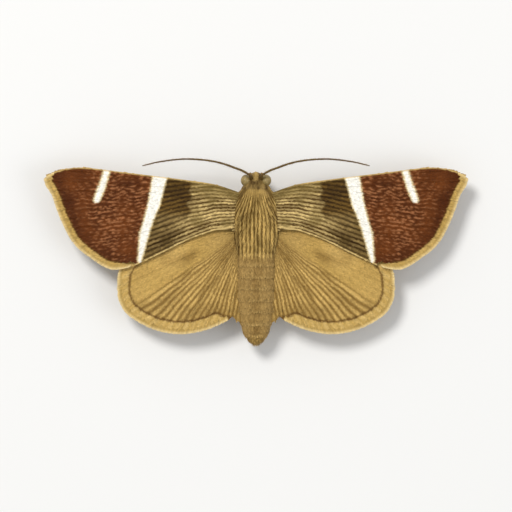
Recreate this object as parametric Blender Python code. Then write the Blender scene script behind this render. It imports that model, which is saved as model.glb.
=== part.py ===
"""A short-lined chocolate moth at life size, standing with all four wings spread flat.

The lengths below are millimetres, and MM turns them into the scene's metres. They are
drawn with +Z up, the head towards +Y and the moth's own right side at +X, from a point on
the floor under the roots of the forewings. stand_on_floor() then turns the whole moth to
face -Y and moves it until its box is centred over the origin.
"""

import math

import bmesh
import bpy
from mathutils import Vector

MM = 0.001
GAP = 0.1                       # clearance between solids that meet

# Driving sizes
WING_THICKNESS = 0.5
WING_ROOT_HEIGHT = 3.15         # middle of the forewing plate at its root
WING_SLOPE = 0.028              # drop for each mm away from the body
WING_BOW = 0.0024               # further drop, growing with the square of that distance
WING_CAMBER = 0.005             # drop towards the leading and trailing edges
WING_CAMBER_LINE = -0.5         # Y of the highest line of a wing
HINDWING_DROP = WING_THICKNESS + GAP
WING_COLUMNS = 26
WING_ROWS = 7

LIMB_RADIUS = 0.25              # least half thickness of feelers and legs
LIMB_SIDES = 8
BODY_SIDES = 24
EYE_SEGMENTS = 20
EYE_RINGS = 12
SHARP_ANGLE = 50                # degrees between faces from which an edge is shaded sharp

# Outline of the right forewing, root to apex along the front, then root to apex behind
FOREWING_FRONT = [(1.40, 1.50), (3.10, 2.08), (6.10, 2.52), (9.90, 2.99), (12.90, 3.35),
                  (14.40, 3.24), (15.45, 2.90), (15.98, 2.50)]
FOREWING_BACK = [(1.80, -1.10), (3.20, -1.40), (5.10, -2.08), (7.10, -3.08), (8.90, -3.92),
                 (10.30, -4.30), (11.20, -4.22), (12.35, -3.55), (13.70, -2.42),
                 (14.55, -0.95), (15.02, 0.20), (15.42, 1.30), (15.86, 2.02), (15.98, 2.50)]

# Outline of the right hindwing, in the same order
HINDWING_FRONT = [(1.60, -0.60), (4.00, -0.70), (7.00, -1.65), (9.20, -2.90),
                  (10.28, -4.30), (10.48, -5.70)]
HINDWING_BACK = [(1.60, -2.90), (1.62, -5.20), (1.62, -7.25), (1.95, -7.98), (2.85, -8.52),
                 (4.20, -9.00), (5.80, -9.20), (7.50, -8.92), (8.95, -8.25), (9.90, -7.50),
                 (10.38, -6.55), (10.48, -5.70)]

HEAD_ROWS = 12                  # sections of each loft
THORAX_ROWS = 16

# Stations along the body: Y, half width, half height, height of the middle
HEAD = [(1.86, 0.86, 0.66, 2.58), (2.05, 0.92, 0.76, 2.55), (2.40, 0.86, 0.78, 2.52),
        (2.75, 0.72, 0.70, 2.53), (2.95, 0.47, 0.44, 2.60), (3.09, 0.18, 0.17, 2.66)]
THORAX = [(1.76, 1.10, 0.88, 2.56), (1.68, 1.30, 1.04, 2.58), (1.45, 1.50, 1.16, 2.60),
          (0.90, 1.68, 1.25, 2.62), (0.10, 1.82, 1.31, 2.62), (-0.80, 1.89, 1.33, 2.60),
          (-1.80, 1.80, 1.32, 2.57), (-2.60, 1.64, 1.28, 2.54), (-3.05, 1.53, 1.24, 2.52)]
ABDOMEN = [(-3.15, 1.50, 1.22, 2.51), (-4.50, 1.50, 1.21, 2.44), (-6.00, 1.49, 1.18, 2.32),
           (-7.40, 1.47, 1.13, 2.17), (-8.50, 1.33, 1.03, 2.03), (-9.30, 1.10, 0.85, 1.93),
           (-9.80, 0.82, 0.63, 1.87), (-10.17, 0.36, 0.28, 1.82)]
ABDOMEN_SEGMENTS = 8
ROWS_PER_SEGMENT = 4
SEGMENT_GROOVE = 0.045          # depth of the groove between two segments

EYE_CENTRE = (0.74, 2.38, 2.64)
EYE_RADII = (0.42, 0.46, 0.52)
EYE_SLACK = 0.06

# Feelers, palps and tongue: the feelers leave the crown, pass ahead of the forewings and
# bow back towards them; the palps curve up below the face with the tongue between them
ANTENNA_PATH = [(0.42, 2.72, 3.46), (1.39, 3.24, 3.62), (3.10, 3.78, 3.66),
                (5.20, 3.98, 3.52), (7.10, 3.80, 3.30), (8.50, 3.50, 3.10)]
ANTENNA_RINGS = 16
PALP_PATH = [(0.53, 2.08, 1.45), (0.53, 2.40, 1.45), (0.51, 2.64, 1.52), (0.48, 2.80, 1.66)]
PALP_RADII = [LIMB_RADIUS, 0.27, 0.27, LIMB_RADIUS]
PALP_RINGS = 9
PROBOSCIS_CENTRE = (0.0, 2.66, 1.26)
PROBOSCIS_RADIUS = 0.38
PROBOSCIS_WIDTH = 0.34
PROBOSCIS_SIDES = 20

# Joints of the three right legs: hip, knee, ankle, heel on the floor, tip of the foot
LEGS = {
    "front": [(0.62, 1.02, 1.02), (2.35, 1.34, 1.66), (3.30, 1.52, 0.62),
              (3.75, 1.62, 0.22), (4.80, 1.86, 0.22)],
    "middle": [(0.72, -0.45, 0.96), (3.30, -0.62, 1.72), (5.20, -1.12, 0.66),
               (5.75, -1.28, 0.22), (7.40, -1.72, 0.22)],
    "hind": [(0.68, -1.75, 0.94), (2.70, -3.10, 1.55), (4.55, -5.35, 0.66),
             (4.95, -5.80, 0.22), (6.20, -7.15, 0.22)],
}
FEMUR_RADII = [LIMB_RADIUS, 0.31, 0.27]
TIBIA_RADII = [LIMB_RADIUS, 0.27, LIMB_RADIUS]

LIMB_RINGS = 5
FOOT_RINGS = 8

# Base colour, roughness
MATERIALS = {
    "scales_tan": ((0.36, 0.24, 0.09), 0.75),
    "scales_brown": ((0.19, 0.07, 0.025), 0.75),
    "scales_gold": ((0.45, 0.31, 0.13), 0.75),
    "eye": ((0.30, 0.22, 0.14), 0.25),
    "horn": ((0.22, 0.13, 0.05), 0.5),
}


def clear_scene():
    for item in list(bpy.data.objects):
        bpy.data.objects.remove(item, do_unlink=True)


def material(name):
    found = bpy.data.materials.get(name)
    if found:
        return found
    colour, roughness = MATERIALS[name]
    made = bpy.data.materials.new(name)
    made.use_nodes = True
    shader = made.node_tree.nodes["Principled BSDF"]
    shader.inputs["Base Color"].default_value = (*colour, 1.0)
    shader.inputs["Roughness"].default_value = roughness
    shader.inputs["Metallic"].default_value = 0.0
    return made


def add_object(name, bm, finish, parent):
    """Named object from a shape in millimetres, its faces turned outwards."""
    bmesh.ops.recalc_face_normals(bm, faces=bm.faces)
    if bm.calc_volume(signed=True) < 0:
        bmesh.ops.reverse_faces(bm, faces=bm.faces)
    bmesh.ops.scale(bm, vec=(MM, MM, MM), verts=bm.verts)
    mesh = bpy.data.meshes.new(name)
    bm.to_mesh(mesh)
    bm.free()
    mesh.shade_smooth()
    mesh.set_sharp_from_angle(angle=math.radians(SHARP_ANGLE))
    mesh.materials.append(material(finish))
    made = bpy.data.objects.new(name, mesh)
    bpy.context.collection.objects.link(made)
    made.parent = parent
    return made


def catmull_rom(points, place):
    """Point of a smooth curve through all the points, place 0 to len(points) - 1."""
    last = len(points) - 1
    span = min(int(place), last - 1)
    t = place - span
    p1 = Vector(points[span])
    p2 = Vector(points[span + 1])
    p0 = Vector(points[span - 1]) if span > 0 else 2 * p1 - p2
    p3 = Vector(points[span + 2]) if span + 2 <= last else 2 * p2 - p1
    return 0.5 * (2 * p1 + (p2 - p0) * t + (2 * p0 - 5 * p1 + 4 * p2 - p3) * t ** 2
                  + (3 * p1 - p0 - 3 * p2 + p3) * t ** 3)


def even_points(points, count, fine=40):
    """Points at even spacing along the smooth curve through the given points."""
    steps = (len(points) - 1) * fine
    dense = [catmull_rom(points, i / fine) for i in range(steps + 1)]
    run = [0.0]
    for a, b in zip(dense, dense[1:]):
        run.append(run[-1] + (b - a).length)
    result = []
    k = 0
    for i in range(count):
        want = run[-1] * i / (count - 1)
        while k < steps - 1 and run[k + 1] < want:
            k += 1
        share = (want - run[k]) / (run[k + 1] - run[k])
        result.append(dense[k].lerp(dense[k + 1], min(max(share, 0.0), 1.0)))
    return result


def station_at(stations, y):
    """Half width, half height and middle height of the body where it crosses y."""
    last = len(stations) - 1
    for k in range(last):
        if stations[k][0] >= y >= stations[k + 1][0]:
            break
    else:
        k = 0 if y > stations[0][0] else last - 1
    a, b = stations[k], stations[k + 1]
    t = min(max((a[0] - y) / (a[0] - b[0]), 0.0), 1.0)
    return [a[i] + (b[i] - a[i]) * t for i in (1, 2, 3)]


def body_half_width(y):
    stations = THORAX if y > ABDOMEN[0][0] else ABDOMEN
    return station_at(stations, y)[0]


def ring(bm, centre, across, upward, radius_x, radius_z, sides, turn=0.0):
    corners = []
    for i in range(sides):
        angle = turn + 2 * math.pi * i / sides
        point = centre + across * (radius_x * math.cos(angle)) + upward * (radius_z * math.sin(angle))
        corners.append(bm.verts.new(point))
    return corners


def join_rings(bm, rings):
    """Skin over a row of rings, with both ends closed by a fan of triangles."""
    for a, b in zip(rings, rings[1:]):
        for i in range(len(a)):
            j = (i + 1) % len(a)
            bm.faces.new((a[i], a[j], b[j], b[i]))
    for end in (rings[0], rings[-1]):
        middle = sum((v.co for v in end), Vector()) / len(end)
        hub = bm.verts.new(middle)
        for i in range(len(end)):
            bm.faces.new((hub, end[i], end[(i + 1) % len(end)]))


def lofted_body(stations, rows, groove=None):
    """Body of oval sections across Y, with an even row of sections between its ends."""
    bm = bmesh.new()
    rings = []
    for i in range(rows + 1):
        place = (len(stations) - 1) * i / rows
        y, half_width, half_height, middle = smooth_station(stations, place)
        cut = groove(y) if groove else 0.0
        rings.append(ring(bm, Vector((0, y, middle)), Vector((1, 0, 0)), Vector((0, 0, 1)),
                          half_width - cut, half_height - cut, BODY_SIDES))
    join_rings(bm, rings)
    return bm


def smooth_station(stations, place):
    rows = [Vector((s[0], s[1], s[2], s[3])) for s in stations]
    return catmull_rom(rows, place)


def abdomen_groove(y):
    """Depth of the rings between the segments, shallower towards the tip."""
    front, tip = ABDOMEN[0][0], ABDOMEN[-1][0]
    along = (front - y) / (front - tip) * ABDOMEN_SEGMENTS
    return SEGMENT_GROOVE * (0.5 + 0.5 * math.cos(2 * math.pi * along)) ** 2


def tube(path, radii, rows, flat_floor=False):
    """Limb along a smooth path, its radius eased through the radii, one side facing down."""
    bm = bmesh.new()
    centres = even_points(path, rows)
    rings = []
    for i, centre in enumerate(centres):
        ahead = centres[min(i + 1, rows - 1)] - centres[max(i - 1, 0)]
        across = ahead.cross(Vector((0, 0, 1))).normalized()
        upward = across.cross(ahead).normalized()
        radius = catmull_rom([(r, 0) for r in radii], (len(radii) - 1) * i / (rows - 1))[0]
        rings.append(ring(bm, centre, across, upward, radius, radius, LIMB_SIDES,
                          turn=math.pi / LIMB_SIDES))
    join_rings(bm, rings)
    if flat_floor:
        for vert in bm.verts:
            vert.co.z = max(vert.co.z, 0.0)
    return bm


def mirrored(bm, side):
    """The same shape on the right (side 1) or the left (side -1)."""
    for vert in bm.verts:
        vert.co.x *= side
    return bm


def wing_height(x, y):
    """Middle of the forewing plate over a point of the floor."""
    return (WING_ROOT_HEIGHT - WING_SLOPE * x - WING_BOW * x ** 2
            - WING_CAMBER * (y - WING_CAMBER_LINE) ** 2)


def wing(front, back, drop):
    """Bowed plate of even thickness between a front and a back outline."""
    bm = bmesh.new()
    leading = even_points(front, WING_COLUMNS)
    trailing = even_points(back, WING_COLUMNS)
    tip_column = WING_COLUMNS - 1
    half = WING_THICKNESS / 2
    grid = {}
    for i in range(WING_COLUMNS):
        for j in range(WING_ROWS):
            point = leading[i].lerp(trailing[i], j / (WING_ROWS - 1))
            if i == tip_column and j > 0:
                grid[i, j] = grid[i, 0]
                continue
            y = point.y
            x = max(point.x, body_half_width(y) + GAP)
            middle = wing_height(x, y) - drop
            grid[i, j] = (bm.verts.new((x, y, middle + half)),
                          bm.verts.new((x, y, middle - half)))
    for i in range(tip_column):
        for j in range(WING_ROWS - 1):
            cell = (grid[i, j], grid[i + 1, j], grid[i + 1, j + 1], grid[i, j + 1])
            for level in (0, 1):
                corners = [corner[level] for corner in cell]
                if corners[1] is corners[2]:
                    corners.pop(2)
                bm.faces.new(corners)
    rim = [(i, 0) for i in range(WING_COLUMNS)]
    rim += [(i, WING_ROWS - 1) for i in range(tip_column - 1, -1, -1)]
    rim += [(0, j) for j in range(WING_ROWS - 2, 0, -1)]
    for a, b in zip(rim, rim[1:] + rim[:1]):
        bm.faces.new((grid[a][0], grid[b][0], grid[b][1], grid[a][1]))
    return bm


def ellipsoid(centre, radii):
    bm = bmesh.new()
    bmesh.ops.create_uvsphere(bm, u_segments=EYE_SEGMENTS, v_segments=EYE_RINGS, radius=1.0)
    for vert in bm.verts:
        vert.co = [centre[k] + vert.co[k] * radii[k] for k in range(3)]
    return bm


def add_head(root):
    head = add_object("head", lofted_body(HEAD, HEAD_ROWS), "scales_tan", root)
    for side, name in ((1, "right"), (-1, "left")):
        eye = add_object(f"eye_{name}", mirrored(ellipsoid(EYE_CENTRE, EYE_RADII), side),
                         "eye", root)
        room = [radius + EYE_SLACK for radius in EYE_RADII]
        socket = add_object(f"socket_{name}", mirrored(ellipsoid(EYE_CENTRE, room), side),
                            "eye", root)
        socket.hide_render = True
        socket.display_type = "WIRE"
        cut = head.modifiers.new(f"cut_{name}", "BOOLEAN")
        cut.operation = "DIFFERENCE"
        cut.object = socket
        add_object(f"antenna_{name}",
                   mirrored(tube(ANTENNA_PATH, [LIMB_RADIUS] * 2, ANTENNA_RINGS), side),
                   "horn", root)
        add_object(f"palp_{name}", mirrored(tube(PALP_PATH, PALP_RADII, PALP_RINGS), side),
                   "scales_tan", root)


def add_proboscis(root):
    """Coiled tongue between the palps, as the flat drum that the coil fills."""
    bm = bmesh.new()
    rings = []
    for x in (-PROBOSCIS_WIDTH / 2, PROBOSCIS_WIDTH / 2):
        centre = Vector(PROBOSCIS_CENTRE) + Vector((x, 0, 0))
        rings.append(ring(bm, centre, Vector((0, 1, 0)), Vector((0, 0, 1)),
                          PROBOSCIS_RADIUS, PROBOSCIS_RADIUS, PROBOSCIS_SIDES))
    join_rings(bm, rings)
    add_object("proboscis", bm, "horn", root)


def add_trunk(root):
    add_object("thorax", lofted_body(THORAX, THORAX_ROWS), "scales_tan", root)
    add_object("abdomen", lofted_body(ABDOMEN, ROWS_PER_SEGMENT * ABDOMEN_SEGMENTS,
                                      abdomen_groove),
               "scales_tan", root)


def add_wings(root):
    for side, name in ((1, "right"), (-1, "left")):
        add_object(f"forewing_{name}", mirrored(wing(FOREWING_FRONT, FOREWING_BACK, 0.0), side),
                   "scales_brown", root)
        add_object(f"hindwing_{name}",
                   mirrored(wing(HINDWING_FRONT, HINDWING_BACK, HINDWING_DROP), side),
                   "scales_gold", root)


def shortened(start, end):
    """The line from start to end, drawn back at both ends to clear its neighbours."""
    start, end = Vector(start), Vector(end)
    back = (end - start).normalized() * GAP
    return start + back, end - back


def add_legs(root):
    for pair, (hip, knee, ankle, heel, toe) in LEGS.items():
        for side, name in ((1, "right"), (-1, "left")):
            stem = f"leg_{pair}_{name}"
            first, last = shortened(hip, knee)
            thigh = tube([first, last], FEMUR_RADII, LIMB_RINGS)
            add_object(f"{stem}_femur", mirrored(thigh, side), "scales_tan", root)
            first, last = shortened(knee, ankle)
            shank = tube([first, last], TIBIA_RADII, LIMB_RINGS)
            add_object(f"{stem}_tibia", mirrored(shank, side), "scales_tan", root)
            first, heel_point = shortened(ankle, heel)[0], Vector(heel)
            foot = tube([first, heel_point, heel_point.lerp(Vector(toe), 0.5), Vector(toe)],
                        [LIMB_RADIUS] * 2, FOOT_RINGS, flat_floor=True)
            add_object(f"{stem}_tarsus", mirrored(foot, side), "scales_tan", root)


def stand_on_floor(root):
    """Face the moth towards -Y and centre its box over the origin."""
    root.rotation_euler.z = math.pi
    bpy.context.view_layer.update()
    ys = [(item.matrix_world @ vert.co).y for item in root.children
          if not item.hide_render for vert in item.data.vertices]
    root.location.y = -(min(ys) + max(ys)) / 2


def main():
    clear_scene()
    root = bpy.data.objects.new("moth", None)
    bpy.context.collection.objects.link(root)
    add_trunk(root)
    add_head(root)
    add_proboscis(root)
    add_wings(root)
    add_legs(root)
    stand_on_floor(root)


main()
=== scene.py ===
"""Looks of the short-lined chocolate moth: skin, wings, scales, hairs, eyes, legs and stage.

Lengths are millimetres in the moth's own drawing frame: the head towards +Y, the moth's
right side at +X, the floor at Z = 0. to_frame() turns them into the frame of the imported
model, which faces -Y and is in metres.
"""
import math

import bmesh
import bpy
import numpy as np
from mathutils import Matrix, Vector


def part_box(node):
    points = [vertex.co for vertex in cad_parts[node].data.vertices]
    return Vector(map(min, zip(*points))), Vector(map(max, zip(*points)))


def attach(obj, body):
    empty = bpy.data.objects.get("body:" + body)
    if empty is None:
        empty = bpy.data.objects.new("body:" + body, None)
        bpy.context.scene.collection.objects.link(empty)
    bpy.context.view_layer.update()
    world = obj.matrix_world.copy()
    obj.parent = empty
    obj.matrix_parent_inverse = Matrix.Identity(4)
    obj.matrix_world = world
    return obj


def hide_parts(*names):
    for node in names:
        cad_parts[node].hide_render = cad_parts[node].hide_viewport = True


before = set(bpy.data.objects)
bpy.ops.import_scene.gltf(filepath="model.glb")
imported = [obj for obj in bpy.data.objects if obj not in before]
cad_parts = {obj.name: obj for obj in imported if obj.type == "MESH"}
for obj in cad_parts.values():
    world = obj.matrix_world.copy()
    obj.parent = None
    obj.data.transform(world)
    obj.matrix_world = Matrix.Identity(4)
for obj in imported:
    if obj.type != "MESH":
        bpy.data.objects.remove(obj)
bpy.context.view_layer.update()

MM = 0.001
TAIL_Y = -10.17                       # tip of the tail in the drawing frame
SHIFT_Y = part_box("abdomen")[1].y / MM + TAIL_Y
PATCH = 0.003                         # side of a tuft's patch on the bake map
WHOLE_MAP = (0.03, 0.03, 0.94, 0.94)  # corner and sides of a limb's place on that map
CURVE_STEPS = 40                      # steps of a smooth curve between two of its points
SIDES = ((1, "right"), (-1, "left"))

# ---------------------------------------------------------------- wing shapes
FOREWING_FRONT = [(1.40, 1.50), (3.10, 2.08), (6.10, 2.52), (9.90, 2.99), (12.90, 3.35),
                  (14.40, 3.24), (15.45, 2.90), (15.98, 2.50)]
FOREWING_BACK = [(1.80, -1.10), (3.20, -1.40), (5.10, -2.08), (7.10, -3.08), (8.90, -3.92),
                 (10.30, -4.30), (11.20, -4.22), (12.35, -3.55), (13.70, -2.42),
                 (14.55, -0.95), (15.02, 0.20), (15.42, 1.30), (15.86, 2.02), (15.98, 2.50)]
HINDWING_FRONT = [(1.60, -0.60), (4.00, -0.70), (7.00, -1.65), (9.20, -2.90),
                  (10.28, -4.30), (10.48, -5.70)]
HINDWING_BACK = [(1.60, -2.90), (1.62, -5.20), (1.62, -7.25), (1.95, -7.98), (2.85, -8.52),
                 (4.20, -9.00), (5.80, -9.20), (7.50, -8.92), (8.95, -8.25), (9.90, -7.50),
                 (10.38, -6.55), (10.48, -5.70)]
WING_ROOT_HEIGHT = 3.15
WING_SLOPE = 0.028
WING_BOW = 0.0024
WING_CAMBER = 0.005
WING_CAMBER_LINE = -0.5
MEMBRANE = 0.05                       # thickness of a wing without its scales
ROOT_REACH = 0.75                     # how far a wing's root goes into the body
ROOT_EDGE = 2.1                       # nearer the body than this, a wing only goes on inwards
FRINGE = 0.46                         # width of the fringe outside the membrane
FRINGE_LAYERS = 4
SCALE_STEP, ROW_STEP = 0.125, 0.085   # spacing of a wing's scales, along it and across
SCALE_LENGTH, SCALE_WIDTH, SCALE_LIFT = (0.26, 0.34), (0.11, 0.145), (0.03, 0.11)
FRINGE_SCALE_WIDTH = (0.06, 0.10)
STRAY = 0.35                          # how far a scale strays from its place, in spacings
LIE_SPREAD = 0.10                     # how far scales and hairs stray from their lie
MAP_MARGIN = 0.02                     # left free round a bake map
MAP_WIDTH, MAP_HEIGHT = 16.2, 14.0    # what a wing's bake map takes in, from Y = MAP_BOTTOM
MAP_BOTTOM = -9.5
BODY_MAP_LENGTH, BODY_MAP_REAR = 13.8, -10.3    # the same for the body, along Y

# ---------------------------------------------------------------- colours, as sRGB bytes
TAN_LIGHT, TAN_DARK = (230, 200, 132), (74, 50, 8)
OLIVE = (112, 92, 44)
PATCH_DARK, PATCH_LIGHT = (42, 24, 0), (122, 92, 38)
BROWN_LIGHT, BROWN_MIDDLE, BROWN_DARK = (160, 104, 64), (106, 54, 14), (64, 26, 0)
LINE_PITCH = 0.30                     # distance between the fine lines of a forewing
DASH_PITCH, DASH_LENGTH = 0.27, 0.74  # rows of dashes on the brown part, and their beat
DASH_SLOPE = 0.10                     # fall of those rows for each mm outwards
WHITE, CREAM = (243, 240, 230), (228, 206, 152)
GOLD, GOLD_PALE = (182, 148, 78), (212, 180, 112)
LINE_DARK = (84, 52, 14)
HIND_LIGHT, HIND_DARK = (210, 174, 102), (108, 78, 26)
THORAX_LIGHT, THORAX_DARK = (226, 190, 112), (94, 68, 18)
HEAD_LIGHT, HEAD_DARK = (160, 132, 76), (80, 58, 20)
ABDOMEN_LIGHT, ABDOMEN_DARK = (196, 162, 98), (116, 86, 36)
UNDER_PALE = (186, 158, 104)
EYE_DARK, EYE_PALE = (58, 42, 14), (180, 156, 98)
GRAIN_SHADE, GRAIN_GLOSS = 0.18, 0.1  # how far fine grain shifts colour and roughness


def linear(colour):
    """Scene-linear values of an sRGB colour given in bytes."""
    share = np.asarray(colour, float) / 255
    return np.where(share <= 0.04045, share / 12.92, ((share + 0.055) / 1.055) ** 2.4)


def mix(a, b, share):
    """Colours between a and b, one for each share."""
    a = linear(a) if isinstance(a, tuple) else a
    b = linear(b) if isinstance(b, tuple) else b
    return a + (b - a) * np.clip(share, 0, 1)[:, None]


def step(low, high, value):
    """Smooth step from 0 at low to 1 at high."""
    t = np.clip((value - low) / (high - low), 0, 1)
    return t * t * (3 - 2 * t)


def swell(x, y, seed):
    """Smooth noise from 0 to 1 with about one swell for each unit."""
    cell_x, cell_y = np.floor(x).astype(np.int64), np.floor(y).astype(np.int64)
    share_x, share_y = step(0, 1, x - cell_x), step(0, 1, y - cell_y)

    def corner(i, j):
        value = (i * 374761393 + j * 668265263 + seed * 974634777) & 0x7FFFFFFF
        value = ((value ^ (value >> 13)) * 1274126177) & 0x7FFFFFFF
        return ((value ^ (value >> 16)) & 0xFFFF) / 0xFFFF

    low = corner(cell_x, cell_y) * (1 - share_x) + corner(cell_x + 1, cell_y) * share_x
    high = corner(cell_x, cell_y + 1) * (1 - share_x) + corner(cell_x + 1, cell_y + 1) * share_x
    return low * (1 - share_y) + high * share_y


def stripe(line, along, seed):
    """Share of light, from 0 to 1, of fine broken lines that lie one unit apart."""
    sway = 0.45 * (swell(along * 1.3, line * 0.4, seed) - 0.5)
    wave = 0.5 + 0.5 * np.cos(2 * np.pi * (line + sway))
    broken = swell(along * 1.7 + 5, line * 1.1, seed + 1)
    slow = swell(along * 0.6, line * 0.45, seed + 2)
    return np.clip(wave * (0.35 + 0.9 * broken) + 0.35 * (slow - 0.45), 0, 1)


# ---------------------------------------------------------------- curves and surfaces
def unit(vectors):
    """The same directions, one unit long."""
    return vectors / np.maximum(np.linalg.norm(vectors, axis=-1, keepdims=True), 1e-12)


def columns(*values):
    """Rows that take one value from each of the columns; a lone number fills its column."""
    return np.stack(np.broadcast_arrays(*values), axis=1)


def running(line):
    """Length along a line up to each of its points."""
    return np.concatenate([[0], np.cumsum(np.linalg.norm(np.diff(line, axis=0), axis=1))])


def along_line(line, run, places):
    """Points at the given lengths along a line."""
    return np.stack([np.interp(places, run, line[:, k]) for k in range(line.shape[1])], axis=1)


def heading(line, run, places, reach):
    """Direction of a line at the given lengths along it."""
    return unit(along_line(line, run, places + reach) - along_line(line, run, places - reach))


def turned(lie, turn):
    """Directions in the plane, turned by the given angles, as directions in space."""
    x, y = lie.T
    return columns(x * np.cos(turn) - y * np.sin(turn), x * np.sin(turn) + y * np.cos(turn), 0.0)


def smooth_curve(points, count):
    """Evenly spaced points along the smooth curve through the given points."""
    points = np.asarray(points, float)
    padded = np.vstack([2 * points[0] - points[1], points, 2 * points[-1] - points[-2]])
    fine = np.linspace(0, 1, CURVE_STEPS, endpoint=False)[:, None]
    spans = []
    for p0, p1, p2, p3 in zip(padded, padded[1:], padded[2:], padded[3:]):
        spans.append(0.5 * (2 * p1 + (p2 - p0) * fine + (2 * p0 - 5 * p1 + 4 * p2 - p3) * fine ** 2
                            + (3 * p1 - p0 - 3 * p2 + p3) * fine ** 3))
    dense = np.vstack(spans + [points[-1:]])
    run = running(dense)
    return along_line(dense, run, np.linspace(0, run[-1], count))


def distance_to(line, x, y):
    """Distance of each point to a polyline in the plane."""
    best = np.full(len(x), 1e9)
    for (ax, ay), (bx, by) in zip(line, line[1:]):
        square = max((bx - ax) ** 2 + (by - ay) ** 2, 1e-12)
        along = np.clip(((x - ax) * (bx - ax) + (y - ay) * (by - ay)) / square, 0, 1)
        best = np.minimum(best, np.hypot(x - ax - along * (bx - ax), y - ay - along * (by - ay)))
    return best


def inside(outline, x, y):
    """Whether each point lies inside a closed outline."""
    odd = np.zeros(len(x), bool)
    for (ax, ay), (bx, by) in zip(outline, np.roll(outline, -1, axis=0)):
        if ay == by:
            continue
        crosses = (ay > y) != (by > y)
        odd ^= crosses & (x < ax + (y - ay) * (bx - ax) / (by - ay))
    return odd


def wing_plane(x, y):
    """Height of the forewing plate's middle over a point of the floor."""
    x = np.abs(x)
    return (WING_ROOT_HEIGHT - WING_SLOPE * x - WING_BOW * x ** 2
            - WING_CAMBER * (y - WING_CAMBER_LINE) ** 2)


class Wing:
    """Shape, lie of the scales and markings of one right wing."""

    SEED = 11                         # of the markings, the same on both faces
    VEIN_WIDTH, VEIN_HEIGHT, PLEAT_HEIGHT = 0.075, 0.055, 0.02

    def __init__(self, name, front, back, level, veins):
        self.name = name
        self.level = level
        self.veins = veins
        self.front = smooth_curve(front, 90)
        self.back = smooth_curve(back, 160)
        self.outline = np.vstack([self.front, self.back[-2::-1]])
        self.centre = self.outline.mean(axis=0)

    def height(self, x, y):
        return wing_plane(x, y) + self.level + self.relief(x, y)

    def relief(self, x, y):
        """Raised veins and the shallow pleats between them."""
        across, spread, along = self.lie(x, y)
        total = self.PLEAT_HEIGHT * (swell(x * 0.6, y * 0.6, 5) - 0.5)
        for place, start in self.veins:
            ridge = np.exp(-((across - place) * spread / self.VEIN_WIDTH) ** 2)
            total += self.VEIN_HEIGHT * ridge * step(start - 0.4, start + 0.2, along)
        return total

    def normal(self, x, y):
        reach = 0.04
        slope_x = (self.height(x + reach, y) - self.height(x - reach, y)) / (2 * reach)
        slope_y = (self.height(x, y + reach) - self.height(x, y - reach)) / (2 * reach)
        return unit(columns(-slope_x, -slope_y, 1.0))

    def on_wing(self, x, y):
        """The place itself, or for one nearer the body the place that it continues."""
        return np.maximum(x, ROOT_EDGE), y + self.ROOT_RISE * np.maximum(ROOT_EDGE - x, 0)


def dashes(x, y, pitch, length, seed):
    """Short wavy strokes, 0 to 1, in uneven rows that run across the moth."""
    level = (y + DASH_SLOPE * x) / pitch + 1.1 * swell(x * 1.3, y * 0.8, seed + 7)
    row = np.floor(level)
    beat = x / length + 5 * swell(row, 0 * row + 2, seed + 5) + 1.6 * swell(x * 1.1, row, seed + 8)
    stroke = np.sin(np.pi * (level - row)) ** 4 * (0.5 + 0.5 * np.cos(2 * np.pi * beat)) ** 0.7
    return stroke * (0.25 + 0.95 * swell(x * 1.2 + 9, level * 0.5, seed + 9))


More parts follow.
